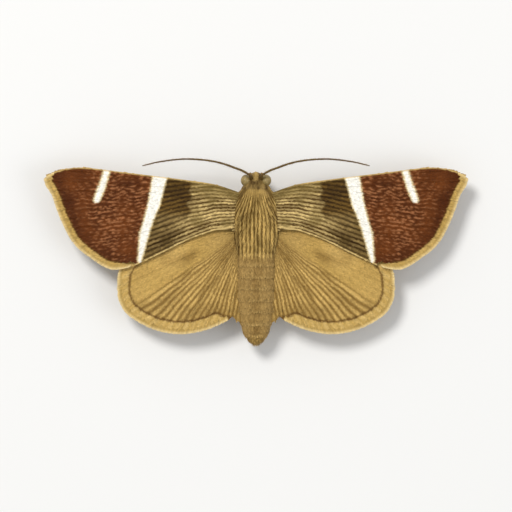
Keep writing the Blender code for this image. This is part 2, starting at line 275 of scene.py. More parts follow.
class Forewing(Wing):
    ROOT_RISE = 0.35                  # slope of the front edge beside the body
    LINE_FAN = 0.7                    # 0: lines parallel to BOTTOM; 1: lines fan from it to TOP
    MIDDLE_SPREAD = 4.3               # distance from BOTTOM to TOP where the fan keeps the pitch
    # Lines that the veins run between: the front edge and a line behind the wing
    TOP = [(1.0, 1.50), (3.1, 2.08), (6.1, 2.52), (9.9, 2.99), (12.9, 3.40), (17.0, 3.8)]
    BOTTOM = [(1.0, -1.00), (3.2, -1.40), (5.1, -2.08), (7.1, -3.08), (8.9, -3.92),
              (11.0, -4.85), (17.0, -7.2)]
    # Inner and outer edge of each white band at heights down the wing
    LONG_BAND = [(-3.86, 8.74, 8.80), (-3.55, 8.62, 8.88), (-1.66, 8.10, 8.74),
                 (-0.72, 7.80, 8.46), (0.53, 7.28, 8.12), (2.90, 6.66, 7.72)]
    SHORT_BAND = [(0.70, 11.98, 12.08), (0.86, 11.78, 12.22), (1.50, 11.52, 12.02),
                  (2.30, 11.26, 11.70), (3.30, 10.98, 11.40)]

    def lie(self, x, y):
        top = np.interp(x, *np.transpose(self.TOP))
        bottom = np.interp(x, *np.transpose(self.BOTTOM))
        return (y - bottom) / (top - bottom), top - bottom, x

    def direction(self, x, y):
        """Way from the wing's root to its margin, in the plane."""
        share = np.clip(self.lie(x, y)[0], -0.1, 1.1)
        reach = 0.3
        top, bottom = ((np.interp(x + reach, *np.transpose(line))
                        - np.interp(x - reach, *np.transpose(line))) / (2 * reach)
                       for line in (self.TOP, self.BOTTOM))
        slope = bottom + (top - bottom) * share
        return columns(1.0, slope) / np.hypot(1, slope)[:, None]

    def band(self, rows, x, y):
        """Signed distance from a band's edge along X: above 0 inside the band."""
        heights, *edges = np.transpose(rows)
        inner, outer = (np.interp(y, heights, edge) for edge in edges)
        return np.where(y < heights[0], -1.0, np.minimum(x - inner, outer - x))

    def colour(self, x, y, under=False):
        seed = self.SEED
        across, spread, _ = self.lie(x, y)
        line = across * (spread + self.LINE_FAN * (self.MIDDLE_SPREAD - spread)) / LINE_PITCH
        light = stripe(line, x * 0.6, seed)
        costal = distance_to(self.front, x, y)
        colour = mix(TAN_DARK, TAN_LIGHT, light)
        stain = swell(x * 0.9 + 3, y * 1.3, seed + 4)
        colour = mix(colour, OLIVE, 0.55 * step(0.5, 0.85, stain))
        colour = mix(colour, OLIVE, 0.7 * (1 - step(0.40, 0.80, costal)) * (1 - 0.5 * light))
        # dark patch against the long band, fading into streaks towards the rear edge
        start = 5.00 + 0.40 * (swell(x * 0 + 3, y * 4, seed) - 0.5)
        dark = step(-0.14, 0.14, x - start) * (0.25 + 0.75 * step(-1.5, 0.3, y))
        reach = step(-0.9, 0.9, x - start - 0.8 * (1 - step(-1.5, 0.3, y)))
        patch = np.maximum(dark * step(-1.6, -0.2, y), 0.75 * reach)
        colour = mix(colour, mix(PATCH_DARK, PATCH_LIGHT, 0.75 * light), patch)
        # red-brown outer part with rows of short light dashes straight across the moth
        dash = np.maximum(dashes(x, y, DASH_PITCH, DASH_LENGTH, seed),
                          0.85 * dashes(x, y, 1.37 * DASH_PITCH, 0.7 * DASH_LENGTH, seed + 20))
        dash *= 1 - 0.4 * step(11.9, 13.0, x)
        mottle = swell(x, y, seed + 6)
        brown = mix(BROWN_DARK, BROWN_MIDDLE, 0.25 + 0.75 * mottle)
        brown = mix(brown, BROWN_LIGHT, 0.95 * step(0.12, 0.75, dash))
        edge = distance_to(self.termen(), x, y) + 0.6 * (1 - step(9.3, 10.6, x))
        brown = mix(brown, BROWN_DARK, 0.6 * (1 - step(0.7, 1.9, edge)) * (1 - 0.6 * dash))
        heights, inner, outer = np.transpose(self.LONG_BAND)
        middle = np.interp(y, heights, (inner + outer) / 2)
        colour = mix(colour, brown, step(-0.04, 0.04, x - middle))
        for rows in (self.LONG_BAND, self.SHORT_BAND):
            depth = self.band(rows, x, y)
            colour = mix(colour, CREAM, step(-0.12, -0.04, depth))
            colour = mix(colour, WHITE, step(-0.02, 0.05, depth))
        colour = mix(colour, GOLD_PALE, 0.75 * (1 - step(0.05, 0.11, costal)) * step(2, 4, x))
        colour = mix(colour, LINE_DARK, 0.8 * (1 - step(0.60, 0.72, edge)))
        colour = mix(colour, mix(GOLD, GOLD_PALE, 0.5 * mottle), 1 - step(0.52, 0.57, edge))
        rear = distance_to(self.back, x, y)
        colour = mix(colour, TAN_LIGHT, 0.7 * (1 - step(0.05, 0.12, rear)))
        if under:
            colour = mix(colour, UNDER_PALE, np.full(len(x), 0.55))
        return colour

    def termen(self):
        return self.back[self.back[:, 0] > 9.2]

    def fringe_line(self):
        """The outer margin and the last of the front edge, round the wing's tip."""
        return np.vstack([self.termen(), self.front[::-1][1:7]])


class Hindwing(Wing):
    ROOT_RISE = 0.0
    HUB = (0.6, -1.2)                 # the veins spread from here

    def lie(self, x, y):
        angle = np.arctan2(y - self.HUB[1], x - self.HUB[0])
        reach = np.hypot(x - self.HUB[0], y - self.HUB[1])
        return angle, reach, reach

    def direction(self, x, y):
        """Way from the wing's root to its margin, in the plane."""
        return unit(columns(x - self.HUB[0], y - self.HUB[1]))

    def colour(self, x, y, under=False):
        seed = self.SEED
        angle, reach, _ = self.lie(x, y)
        light = stripe(angle * 19, reach * 0.6, seed)
        slow = swell(reach * 0.5 + 4, angle * 3, seed + 4)
        colour = mix(HIND_DARK, HIND_LIGHT, 0.15 + 0.85 * light)
        # plain golden strip along the front, under the forewing's edge
        front = step(-0.66, -0.56, angle)
        colour = mix(colour, mix(GOLD, HIND_LIGHT, slow), 0.85 * front)
        # painted shadow on the hindwing below the forewing's rear edge
        painted_shadow_under_forewing = np.exp(-((reach - 5.0) / 0.9) ** 2 - ((angle + 0.46) / 0.08) ** 2)
        colour = mix(colour, PATCH_LIGHT, 0.7 * painted_shadow_under_forewing)
        colour = mix(colour, PATCH_LIGHT, 0.55 * step(0.45, 0.85, slow) * step(5.2, 7.5, reach))
        colour = mix(colour, TAN_DARK, 0.35 * (1 - step(1.2, 4.5, reach)))
        edge = distance_to(self.termen(), x, y)
        edge = edge + 0.05 * (swell(reach * 0 + 2, angle * 30, seed) - 0.5)
        edge = edge + 0.9 * (1 - step(1.8, 3.2, x))
        colour = mix(colour, LINE_DARK, 0.85 * (1 - step(0.94, 1.06, edge)))
        border = mix(GOLD, GOLD_PALE, 0.2 + 0.7 * light)
        colour = mix(colour, border, 1 - step(0.80, 0.88, edge))
        if under:
            colour = mix(colour, UNDER_PALE, np.full(len(x), 0.5))
        return colour

    def termen(self):
        rear = self.back[np.cumsum(self.back[:, 1] < -7.9) > 0]
        return np.vstack([rear, self.front[::-1][1:22]])

    def fringe_line(self):
        return self.termen()

    def inner_edge(self):
        corner = np.cumsum(self.back[:, 1] < -8.2) == 0
        return self.back[corner & (self.back[:, 1] < -3.3)]


FOREWING = Forewing("forewing", FOREWING_FRONT, FOREWING_BACK, -0.08,
                    [(0.965, 1.0), (0.88, 1.0), (0.81, 7.6), (0.735, 8.2), (0.66, 8.5),
                     (0.585, 8.6), (0.51, 8.3), (0.43, 7.2), (0.35, 1.0), (0.17, 1.0)])
HINDWING = Hindwing("hindwing", HINDWING_FRONT, HINDWING_BACK, -0.42,
                    [(-0.05, 1.0), (-0.24, 1.0), (-0.42, 4.2), (-0.60, 4.4), (-0.78, 4.2),
                     (-0.98, 1.0), (-1.17, 1.0), (-1.36, 1.0)])


# ---------------------------------------------------------------- meshes and materials
def to_frame(points):
    """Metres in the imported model's frame for millimetres in the drawing frame."""
    x, y, z = np.asarray(points, float).reshape(-1, 3).T
    return columns(-x, SHIFT_Y - y, z) * MM


def add_object(name, data):
    made = bpy.data.objects.new(name, data)
    bpy.context.collection.objects.link(made)
    return made


def add_piece(name, shape, finish, nodes=()):
    """Riding piece that stands for the nodes, from a shape in the drawing frame.

    A shape is points, faces and colours, and for a coat also its patches on the bake map.
    """
    points, faces, colours, *patches = shape
    mesh = bpy.data.meshes.new(name)
    mesh.from_pydata(to_frame(points), [], faces)
    # the Markings layer holds the colours with their painted shade and highlights
    layer = mesh.color_attributes.new("Markings", "FLOAT_COLOR", "POINT")
    rgba = np.ones((len(points), 4), np.float32)
    rgba[:, :3] = colours
    layer.data.foreach_set("color", rgba.ravel())
    if patches:
        corner = np.empty(len(mesh.loops), np.int32)
        mesh.loops.foreach_get("vertex_index", corner)
        layer = mesh.uv_layers.new(name="OFBake")
        layer.data.foreach_set("uv", np.asarray(patches[0], np.float32)[corner].ravel())
    else:
        mesh.shade_smooth()
    mesh.materials.append(finish)
    piece = add_object(name, mesh)
    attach(piece, "root")
    if nodes:
        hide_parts(*nodes)


def marked_material(name, roughness, grain, bump, sheen=0.0, specular=0.35):
    """Material that shows a piece's colours, markings with painted shade and highlights, with fine
    grain in colour and relief.
    """
    made = bpy.data.materials.new(name)
    made.use_nodes = True
    tree = made.node_tree
    shader = tree.nodes["Principled BSDF"]

    def node(kind, **inputs):
        new = tree.nodes.new("ShaderNode" + kind)
        for socket, value in inputs.items():
            new.inputs[socket.replace("_", " ")].default_value = value
        return new

    marks = node("Attribute")
    marks.attribute_name = "Markings"
    place = node("TexCoord")
    noise = node("TexNoise", Scale=1 / (grain * MM), Detail=3.0)
    shade = node("MapRange", To_Min=1 - GRAIN_SHADE, To_Max=1 + GRAIN_SHADE)
    gloss = node("MapRange", To_Min=roughness - GRAIN_GLOSS, To_Max=roughness + GRAIN_GLOSS)
    relief = node("Bump", Strength=0.6, Distance=bump * MM)
    tint = node("VectorMath")
    tint.operation = "SCALE"
    for source, output, target, socket in (
            (place, "Object", noise, "Vector"), (noise, "Fac", shade, "Value"),
            (noise, "Fac", gloss, "Value"), (noise, "Fac", relief, "Height"),
            (marks, "Color", tint, 0), (shade, "Result", tint, "Scale"),
            (tint, "Vector", shader, "Base Color"), (gloss, "Result", shader, "Roughness"),
            (relief, "Normal", shader, "Normal")):
        tree.links.new(source.outputs[output], target.inputs[socket])
    shader.inputs["Specular IOR Level"].default_value = specular
    shader.inputs["Sheen Weight"].default_value = sheen
    shader.inputs["Sheen Roughness"].default_value = 0.5
    return made


# ---------------------------------------------------------------- tufts and scales
class Shape:
    """Small closed shape: points as (along, across, up), triangles, and the painted shading of each
    point.
    """

    def __init__(self, points, faces, shades):
        self.points = np.asarray(points, float)
        self.faces = np.asarray(faces)
        self.shades = np.asarray(shades, float)


def scale_shape():
    """Flat shield with a low ridge and a round end."""
    points = [(0, 0, -0.02), (0.42, 0.46, 0), (0.88, 0.44, 0), (1.01, 0.15, 0), (1.01, -0.15, 0),
              (0.88, -0.44, 0), (0.42, -0.46, 0), (0.60, 0, 0.15)]
    rim, ridge = 7, 7
    faces = [(ridge, (k + 1) % rim, k) for k in range(rim)]
    faces += [(0, k, k + 1) for k in range(1, rim - 1)]
    # painted shade at the root and painted highlight towards the round end
    return Shape(points, faces, [0.78, 0.92, 1.06, 1.10, 1.10, 1.06, 0.92, 1.0])


def lock_shape():
    """Three-sided lock of hairs that tapers to a point."""
    rows = [(0.0, 0.8), (0.35, 1.0), (0.72, 0.6)]
    points, shades = [], []
    for along, wide in rows:
        points += [(along, wide / 2, 0), (along, -wide / 2, 0), (along, 0, 0.45 * wide)]
        # painted shade at the root and painted highlight towards the tip
        shades += [0.75 + 0.3 * along] * 3
    points.append((1, 0, 0.05))
    shades.append(1.12)
    faces = [(0, 2, 1)]
    for row in (0, 3):
        for k in range(3):
            a, b = row + k, row + (k + 1) % 3
            faces += [(a, b, b + 3), (a, b + 3, a + 3)]
    faces += [(6 + k, 6 + (k + 1) % 3, 9) for k in range(3)]
    return Shape(points, faces, shades)


SCALE = scale_shape()
LOCK = lock_shape()


def grow(shape, roots, along, normal, length, width, lift, droop, colours, places):
    """Points, faces, colours and bake patches of one small shape at each root.

    lift is the rise for each mm along, and droop bends the tip back to a round body.
    colours holds one colour for each root, or is a function of the finished points.
    """
    along = unit(along - normal * np.sum(along * normal, axis=1)[:, None])
    across = np.cross(normal, along)
    t, s, h = shape.points.T
    length, width = length[:, None], width[:, None]
    run = length * t
    rise = width * h + run * np.reshape(lift, (-1, 1)) - np.reshape(droop, (-1, 1)) * run ** 2
    points = (roots[:, None, :] + along[:, None, :] * run[..., None]
              + across[:, None, :] * (width * s)[..., None] + normal[:, None, :] * rise[..., None])
    count, size = len(roots), len(t)
    faces = (shape.faces[None] + np.arange(count)[:, None, None] * size).reshape(-1, 3)
    if callable(colours):
        shaded = colours(points.reshape(-1, 3)).reshape(count, size, 3)
    else:
        shaded = colours[:, None, :]
    # painted shade and highlight of each point, taken from the shape
    shaded = shaded * shape.shades[None, :, None]
    patch = places[:, None, :] + PATCH * columns(t - 0.5, s)[None]
    return [points.reshape(-1, 3), faces, shaded.reshape(-1, 3), patch.reshape(-1, 2)]


def gather(groups):
    """One shape from several, each of points, faces and whatever else they all have."""
    starts = np.cumsum([0] + [len(group[0]) for group in groups])
    moved = [(points, faces + start, *rest)
             for (points, faces, *rest), start in zip(groups, starts)]
    return [np.vstack(part) for part in zip(*moved)]


def add_both_sides(parts):
    """Pieces on the moth's right and, mirrored, on its left.

    Each part is a name, a shape, a finish and the nodes that it stands for, and {} in a name
    is the side.
    """
    for side, hand in SIDES:
        for name, (points, faces, *rest), finish, nodes in parts:
            if side < 0:
                points, faces = points * [-1, 1, 1], faces[:, ::-1]
            add_piece(name.format(hand), (points, faces, *rest), finish,
                      [node.format(hand) for node in nodes])


# ---------------------------------------------------------------- wings
def membrane(wing, count=170, rows=60):
    """Closed thin plate of a wing, drawn in from the fringe along the outer margin."""
    front, back = smooth_curve(wing.front, count), smooth_curve(wing.back, count)
    share = np.linspace(0, 1, rows)[:, None, None]
    grid = front[None] * (1 - share) + back[None] * share
    x, y = grid[..., 0].ravel(), grid[..., 1].ravel()
    edge = distance_to(wing.termen(), x, y)
    inward = unit(wing.centre - columns(x, y))
    pull = FRINGE * (1 - step(0.0, 1.6, edge))
    x, y = x + inward[:, 0] * pull, y + inward[:, 1] * pull
    inwards = ROOT_REACH * (1 - step(1.6, 3.2, x)) * step(-3.7, -3.0, y)
    x, y = x - inwards, y - wing.ROOT_RISE * inwards
    z = wing.height(x, y)
    upper = columns(x, y, z + MEMBRANE / 2)
    lower = columns(x, y, z - MEMBRANE / 2)
    total = rows * count
    index = np.arange(total).reshape(rows, count)
    a, b = index[:-1, :-1].ravel(), index[:-1, 1:].ravel()
    c, d = index[1:, 1:].ravel(), index[1:, :-1].ravel()
    faces = np.vstack([columns(a, d, c, b), columns(a, b, c, d) + total])
    rim = np.concatenate([index[0], index[1:, -1], index[-1, -2::-1], index[-2:0:-1, 0]])
    after = np.roll(rim, -1)
    faces = np.vstack([faces, columns(rim, after, after + total, rim + total)])
    colours = np.vstack([wing.colour(x, y), wing.colour(x, y, under=True)])
    return np.vstack([upper, lower]), faces, colours * 0.9


def on_map(value, size):
    """Place on a bake map, inside its margin, of a value from 0 to size."""
    return MAP_MARGIN + (1 - 2 * MAP_MARGIN) * value / size


def wing_places(x, y):
    """Place of a wing point on its coat's bake map, which is the wing laid flat."""
    return columns(on_map(x, MAP_WIDTH), on_map(y - MAP_BOTTOM, MAP_HEIGHT))


def wing_coat(wing, side_up, seed):
    """Overlapping scales over one face of a wing."""
    draw = np.random.default_rng(seed)
    xs = np.arange(0.9, 16.1, SCALE_STEP)
    ys = np.arange(-9.4, 3.7, ROW_STEP)
    x, y = np.meshgrid(xs, ys)
    y = y + np.where(np.arange(len(xs)) % 2, ROW_STEP / 2, 0)[None]
    x, y = x.ravel(), y.ravel()
    x = x + draw.uniform(-STRAY, STRAY, len(x)) * SCALE_STEP
    y = y + draw.uniform(-STRAY, STRAY, len(y)) * ROW_STEP
    wing_x, wing_y = wing.on_wing(x, y)
    keep = inside(wing.outline, wing_x, wing_y)
    keep &= distance_to(wing.termen(), x, y) > FRINGE - 0.04
    keep &= distance_to(wing.outline, wing_x, wing_y) > 0.05
    x, y = x[keep], y[keep]
    up = wing.normal(x, y) * side_up
    z = wing.height(x, y) + side_up * (MEMBRANE / 2 - 0.004)
    along = turned(wing.direction(x, y), draw.normal(0, LIE_SPREAD, len(x)))
    tint = np.repeat(draw.normal(1.0, 0.08, len(x)).clip(0.75, 1.25), len(SCALE.points))
    blur = np.repeat(draw.normal(0, 0.02, (2, len(x))), len(SCALE.points), axis=1)

    def colours(points):
        px, py = points[:, 0] + blur[0], points[:, 1] + blur[1]
        return wing.colour(px, py, under=side_up < 0) * tint[:, None]

    length = draw.uniform(*SCALE_LENGTH, len(x))
    width = draw.uniform(*SCALE_WIDTH, len(x))
    lift = draw.uniform(*SCALE_LIFT, len(x))
    return grow(SCALE, columns(x, y, z), along, up, length, width, lift, 0, colours,
                wing_places(x, y))


def fringe(wing, line, fringe_width, bright, lean, taper, seed, spacing=0.045):
    """Long scales in layers along one margin, lying away from the wing.

    bright is the share of cream at the fringe's outer edge, or 0 for the wing's own colours.
    lean weighs the way straight out of the margin against the lie of the wing's own scales.
    taper is the length over which the fringe grows at each end.
    """
    draw = np.random.default_rng(seed)
    run = running(line)
    groups = []
    for layer in range(FRINGE_LAYERS):
        places = np.arange(0.02, run[-1] - 0.02, spacing)
        places = places + draw.uniform(-0.5, 0.5, len(places)) * spacing
        margin = along_line(line, run, places)
        x, y = margin.T
        ahead = heading(line, run, places, 0.1)
        outward = columns(-ahead[:, 1], ahead[:, 0])
        outward *= np.sign(np.sum(outward * (margin - wing.centre), axis=1))[:, None]
        ends = np.minimum(step(0, taper, places), step(0, 0.5 * taper, run[-1] - places))
        lie = lean[0] * outward + (lean[1] + 0.8 * (1 - ends))[:, None] * wing.direction(x, y)
        along = turned(unit(lie), draw.normal(0, LIE_SPREAD, len(x)))
        inset = (fringe_width + 0.12 - 0.09 * (layer // 2)) * (0.35 + 0.65 * ends)
        root_x, root_y = x - outward[:, 0] * inset, y - outward[:, 1] * inset
        side_up = 1 if layer % 2 else -1
        up = np.tile([0.0, 0.0, float(side_up)], (len(x), 1))
        z = wing.height(root_x, root_y) + side_up * (0.012 + 0.012 * (layer // 2))
        reach = (inset + 0.02) / np.maximum(np.sum(along[:, :2] * outward, axis=1), 0.6)
        length = reach * draw.uniform(0.86, 1.02, len(x))
        tip_x, tip_y = root_x + along[:, 0] * length, root_y + along[:, 1] * length
        over = np.where(inside(wing.outline, tip_x, tip_y), 0,
                        distance_to(wing.outline, tip_x, tip_y))
        length = np.maximum(length - np.maximum(over - 0.02, 0), 0.08)
        width = draw.uniform(*FRINGE_SCALE_WIDTH, len(x))
        tint = np.repeat(draw.normal(1, 0.08, len(x)), len(SCALE.points))[:, None]

        def colours(points, tint=tint):
            x, y = points[:, 0], points[:, 1]
            if not bright:
                return wing.colour(x, y) * tint
            edge = distance_to(line, x, y)
            tone = swell(x * 2.2, y * 2.2, seed)
            colour = mix(GOLD, GOLD_PALE, 0.15 + 0.4 * tone)
            colour = mix(colour, OLIVE, 0.45 * np.exp(-((edge - 0.30) / 0.07) ** 2))
            return mix(colour, CREAM, bright * (1 - step(0.04, 0.12, edge))) * tint

        groups.append(grow(SCALE, columns(root_x, root_y, z), along, up, length, width,
                           0.02, 0, colours, wing_places(root_x, root_y)))
    return gather(groups)


def add_wing(wing, first_seed, finish, coat_finish):
    taper = 0.1 if wing is HINDWING else 1.0
    margins = [fringe(wing, wing.fringe_line(), FRINGE, 0.8, (0.75, 0.45), taper, first_seed + 2)]
    if wing is HINDWING:
        margins.append(fringe(wing, wing.inner_edge(), 0.22, 0, (0.45, 0.9), taper,
                              first_seed + 3))
    else:
        margins.append(fringe(wing, wing.front[wing.front[:, 0] > 1.9], 0.05, 0, (0.12, 1.0),
                              0.4, first_seed + 3, spacing=0.07))
    stem = wing.name + "_{}"
    add_both_sides([(stem + "_membrane", membrane(wing), finish, [stem]),
                    (stem + "_scales_upper", wing_coat(wing, 1, first_seed), coat_finish, []),
                    (stem + "_scales_under", wing_coat(wing, -1, first_seed + 1), coat_finish, []),
                    (stem + "_fringe", gather(margins), coat_finish, [])])


# ---------------------------------------------------------------- body shapes
# Stations along the body: (Y, half width, half height, height of the middle)
HEAD = [(1.86, 0.86, 0.66, 2.58), (2.05, 0.92, 0.76, 2.55), (2.40, 0.86, 0.78, 2.52),
        (2.75, 0.72, 0.70, 2.53), (2.95, 0.47, 0.44, 2.60), (3.09, 0.18, 0.17, 2.66)]
THORAX = [(1.76, 1.10, 0.88, 2.56), (1.68, 1.30, 1.04, 2.58), (1.45, 1.50, 1.16, 2.60),
          (0.90, 1.68, 1.25, 2.62), (0.10, 1.82, 1.31, 2.62), (-0.80, 1.89, 1.33, 2.60),
          (-1.80, 1.80, 1.32, 2.57), (-2.60, 1.64, 1.28, 2.54), (-3.05, 1.53, 1.24, 2.52)]
ABDOMEN = [(-3.15, 1.50, 1.22, 2.51), (-4.50, 1.50, 1.21, 2.44), (-6.00, 1.49, 1.18, 2.32),
           (-7.40, 1.47, 1.13, 2.17), (-8.50, 1.33, 1.03, 2.03), (-9.30, 1.10, 0.85, 1.93),
           (-9.80, 0.82, 0.63, 1.87), (-10.17, 0.36, 0.28, 1.82)]
HEAD_COAT, THORAX_COAT, ABDOMEN_COAT = 0.13, 0.16, 0.12
NECK = [(2.30, 0.76, 0.64, 2.53), (2.00, 0.96, 0.72, 2.55), (1.80, 1.08, 0.82, 2.57),
        (1.50, 1.16, 0.90, 2.58), (1.30, 1.08, 0.88, 2.58)]
WAIST = [(-2.40, 1.48, 1.10, 2.54), (-2.90, 1.39, 1.09, 2.52), (-3.30, 1.385, 1.105, 2.50),
         (-3.90, 1.385, 1.095, 2.47)]
SEGMENTS = 8                          # rings of the abdomen
SEGMENT_STEP = 0.060                  # how far each ring stands out over the next
SKIN_VOXEL = 0.075
EYE_CENTRE = np.array([0.74, 2.38, 2.64])
EYE_RADII = np.array([0.41, 0.45, 0.51])
FACETS = 1500
FACET_DEPTH = 0.035                   # drop between two facets, as a share of the radius
ANTENNA_PATH = [(0.40, 2.50, 3.02), (0.42, 2.70, 3.36), (0.72, 2.93, 3.54), (1.39, 3.24, 3.62),
                (3.10, 3.78, 3.66), (5.20, 3.98, 3.52), (7.10, 3.80, 3.30), (8.55, 3.48, 3.09)]
ANTENNA_SEGMENTS = 64
ANTENNA_SIDES = 14
PALP_PATH = [(0.34, 2.05, 1.95), (0.44, 2.20, 1.66), (0.50, 2.46, 1.49), (0.48, 2.68, 1.53),
             (0.44, 2.82, 1.70), (0.41, 2.88, 1.90)]
PALP_ROWS = 26
TONGUE_CENTRE = (2.66, 1.26)          # Y and Z of the coil's middle
TONGUE_TURNS, TONGUE_RINGS = 2.6, 90
# Points of each right leg: hip, knee, ankle, heel and toe
LEGS = {
    "front": [(0.62, 1.02, 1.02), (2.35, 1.34, 1.66), (3.30, 1.52, 0.62), (3.75, 1.62, 0.12),
              (4.80, 1.86, 0.09)],
    "middle": [(0.72, -0.45, 0.96), (3.30, -0.62, 1.72), (5.20, -1.12, 0.66),
               (5.75, -1.28, 0.12), (7.40, -1.72, 0.09)],
    "hind": [(0.68, -1.75, 0.94), (2.70, -3.10, 1.55), (4.55, -5.35, 0.66), (4.95, -5.80, 0.12),
             (6.20, -7.15, 0.09)],
}
LEG_THICKNESS = {"front": 1.0, "middle": 1.05, "hind": 1.0}
SPURS = {"front": [], "middle": [0.97], "hind": [0.60, 0.97]}     # places along the shin
LIMB_ROWS, FOOT_ROWS, FOOT_JOINTS = 30, 61, 5
COXA_TOPS = {"front": (0.50, 1.20, 1.90), "middle": (0.72, -0.10, 1.80),
             "hind": (0.66, -1.35, 1.75)}


def loft(stations, depth, end_depths=(0, 0), rings=60, sides=40):
    """Closed tube through the stations, drawn in by the depth of the coat."""
    y, wide, high, level = smooth_curve(stations, rings).T
    first, last = y[0] - end_depths[0], y[-1] + end_depths[1]
    y = first + (y - y[0]) * (last - first) / (y[-1] - y[0])
    turn = np.linspace(0, 2 * np.pi, sides, endpoint=False)
    wide, high = np.maximum(wide - depth, 0.06)[:, None], np.maximum(high - depth, 0.06)[:, None]
    points = np.stack([wide * np.cos(turn), np.repeat(y[:, None], sides, 1),
                       level[:, None] + high * np.sin(turn)], axis=-1)
    return close_rings(points)


def close_rings(rings):
    """Points and triangles of a tube through rings of points, with its ends closed."""
    rows, sides = rings.shape[:2]
    ends = np.stack([rings[0].mean(axis=0), rings[-1].mean(axis=0)])
    points = np.vstack([rings.reshape(-1, 3), ends])
    index = np.arange(rows * sides).reshape(rows, sides)
    a, b = index[:-1].ravel(), np.roll(index, -1, axis=1)[:-1].ravel()
    c, d = np.roll(index, -1, axis=1)[1:].ravel(), index[1:].ravel()
    start, stop = rows * sides, rows * sides + 1
    first, last = index[0], index[-1]
    faces = np.vstack([columns(a, b, c), columns(a, c, d),
                       columns(np.roll(first, -1), first, start),
                       columns(last, np.roll(last, -1), stop)])
    return points, outward(points, faces)


def outward(points, faces):
    """The same triangles, turned so that a closed shape's faces look outwards."""
    a, b, c = (points[faces[:, k]] for k in range(3))
    volume = np.sum(a * np.cross(b, c))
    return faces if volume > 0 else faces[:, ::-1]


def tube(path, radii, sides=14):
    """Closed tube along a path, with one radius for each point of the path."""
    path = np.asarray(path, float)
    ahead = unit(np.gradient(path, axis=0))
    guide = np.array([0.0, 0.0, 1.0]) if abs(ahead[0, 2]) < 0.8 else np.array([0.0, 1.0, 0.0])
    turn = np.linspace(0, 2 * np.pi, sides, endpoint=False)[:, None]
    rings = []
    for place, forward, radius in zip(path, ahead, radii):
        side = unit(np.cross(forward, guide))
        guide = np.cross(side, forward)
        rings.append(place + radius * (np.cos(turn) * side + np.sin(turn) * guide))
    return close_rings(np.array(rings))


def body_level(y):
    """Height of the body's middle line."""
    places, _, _, levels = np.transpose(sorted(HEAD + THORAX + ABDOMEN))
    return np.interp(y, places, levels)


def from_middle(x, y, z):
    """Way from the body's middle line straight out to each point."""
    return unit(columns(x, 0.0, z - body_level(y)))


def segment_phase(y):
    """Place within a ring of the abdomen, from 0 at its front to 1 at its rear."""
    return np.mod((-3.15 - y) / (10.17 - 3.15) * SEGMENTS, 1.0)


def trunk_shapes():
    head = HEAD[::-1]                 # all lofts run from the head end to the tail
    shapes = [loft(head, HEAD_COAT, (0.05, 0.0)), loft(THORAX, THORAX_COAT, (0.03, 0.0)),
              loft(ABDOMEN, ABDOMEN_COAT, (0.0, 0.42), 90), loft(NECK, 0.0), loft(WAIST, 0.0)]
    for side, _ in SIDES:
        mirror = np.array([side, 1, 1])
        for name, top in COXA_TOPS.items():
            path = smooth_curve([top, 0.55 * np.array(top) + 0.45 * np.array(LEGS[name][0]),
                                 LEGS[name][0]], 14) * mirror
            shapes.append(tube(path, np.linspace(0.42, 0.20, 14), 20))
        palp = 0.10 + 0.07 * np.sin(np.linspace(0, 2.6, PALP_ROWS))
        palp[-8:] = np.linspace(0.13, 0.03, 8)
        shapes.append(tube(smooth_curve(PALP_PATH, PALP_ROWS) * mirror, palp, 18))
    return shapes


def remeshed(shapes, voxel):
    """One closed skin around several overlapping shapes."""
    points, faces = gather(shapes)
    mesh = bpy.data.meshes.new("trunk_shapes")
    mesh.from_pydata(points, [], faces)
    source = add_object("trunk_shapes", mesh)
    change = source.modifiers.new("Remesh", "REMESH")
    change.mode = "VOXEL"
    change.voxel_size = voxel
    soften = source.modifiers.new("Smooth", "SMOOTH")
    soften.iterations = 3
    ready = bpy.data.meshes.new_from_object(source.evaluated_get(
        bpy.context.evaluated_depsgraph_get()))
    where = np.empty(len(ready.vertices) * 3)
    ready.vertices.foreach_get("co", where)
    ready.calc_loop_triangles()
    triangles = np.empty(len(ready.loop_triangles) * 3, np.int32)
    ready.loop_triangles.foreach_get("vertices", triangles)
    bpy.data.objects.remove(source)
    bpy.data.meshes.remove(mesh)
    bpy.data.meshes.remove(ready)
    return where.reshape(-1, 3), triangles.reshape(-1, 3)


def trunk_skin():
    points, faces = remeshed(trunk_shapes(), SKIN_VOXEL)
    # rings of the abdomen: each stands out at its rear over the next
    phase = segment_phase(points[:, 1])
    ring = SEGMENT_STEP * (step(0.0, 0.7, phase) - step(0.84, 1.0, phase) - 0.5)
    ring *= step(-3.4, -4.0, points[:, 1]) * step(-9.7, -9.0, points[:, 1])
    level = body_level(points[:, 1])
    out = np.hypot(points[:, 0], points[:, 2] - level)
    grow_by = 1 + ring / np.maximum(out, 0.3)
    points[:, 0] *= grow_by
    points[:, 2] = level + (points[:, 2] - level) * grow_by
    return points, outward(points, faces)


def point_normals(points, faces):
    """Smooth outward normal at each point of a mesh."""
    a, b, c = (points[faces[:, k]] for k in range(3))
    cross = np.cross(b - a, c - a)
    total = np.zeros_like(points)
    for k in range(3):
        np.add.at(total, faces[:, k], cross)
    return unit(total)


def scatter(points, faces, count, draw):
    """Random places on a mesh, evenly by area, with their normals."""
    normals = point_normals(points, faces)
    a, b, c = (points[faces[:, k]] for k in range(3))
    area = np.linalg.norm(np.cross(b - a, c - a), axis=1)
    chosen = draw.choice(len(faces), count, p=area / area.sum())
    u, v = draw.random(count), draw.random(count)
    fold = u + v > 1
    u[fold], v[fold] = 1 - u[fold], 1 - v[fold]
    weights = columns(1 - u - v, u, v)
    corners = faces[chosen]
    where = np.einsum("ij,ijk->ik", weights, points[corners])
    facing = np.einsum("ij,ijk->ik", weights, normals[corners])
    return where, unit(facing)


